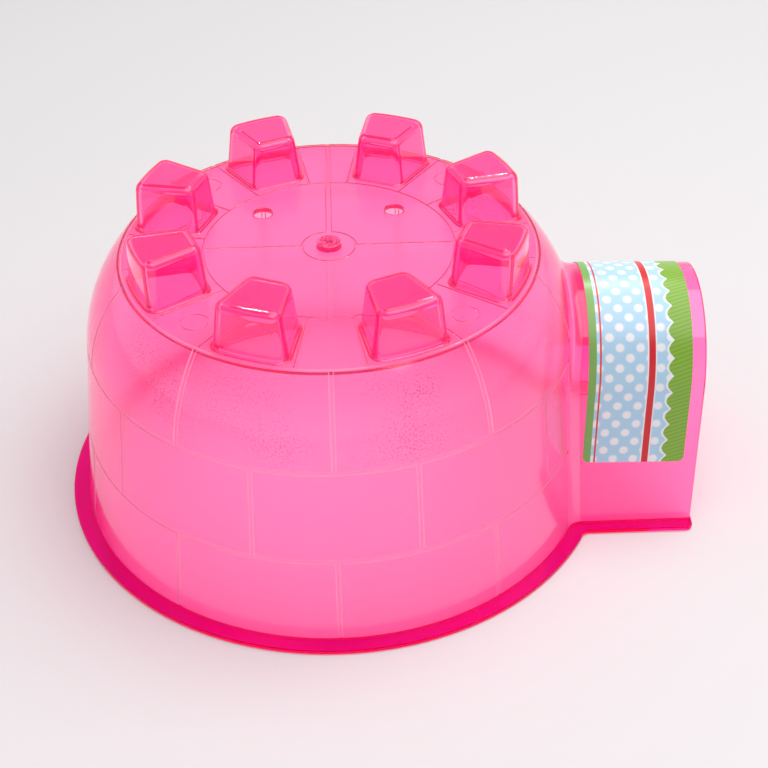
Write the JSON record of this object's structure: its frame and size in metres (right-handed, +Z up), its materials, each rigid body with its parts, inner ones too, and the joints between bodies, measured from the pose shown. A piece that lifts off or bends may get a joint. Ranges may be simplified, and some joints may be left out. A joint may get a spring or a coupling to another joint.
{
  "type": "rodent igloo",
  "caption": "Moulded see-through hide for small rodents: a block-topped round dome with an arched entrance tunnel and a wrap-over label.",
  "frame": {"origin": "on the floor, at the middle of the part's length and width", "axes": "+X out of the entrance tunnel, +Y towards the side with the two air holes, +Z up"},
  "size_m": [0.2536, 0.22, 0.127],
  "materials": {
    "igloo_shell": "see-through tinted, glossy as moulded",
    "entry_label": "printed film, satin"
  },
  "bodies": {
    "root": {"igloo_shell": "igloo_shell", "entry_label": "entry_label"}
  },
  "joints": []
}
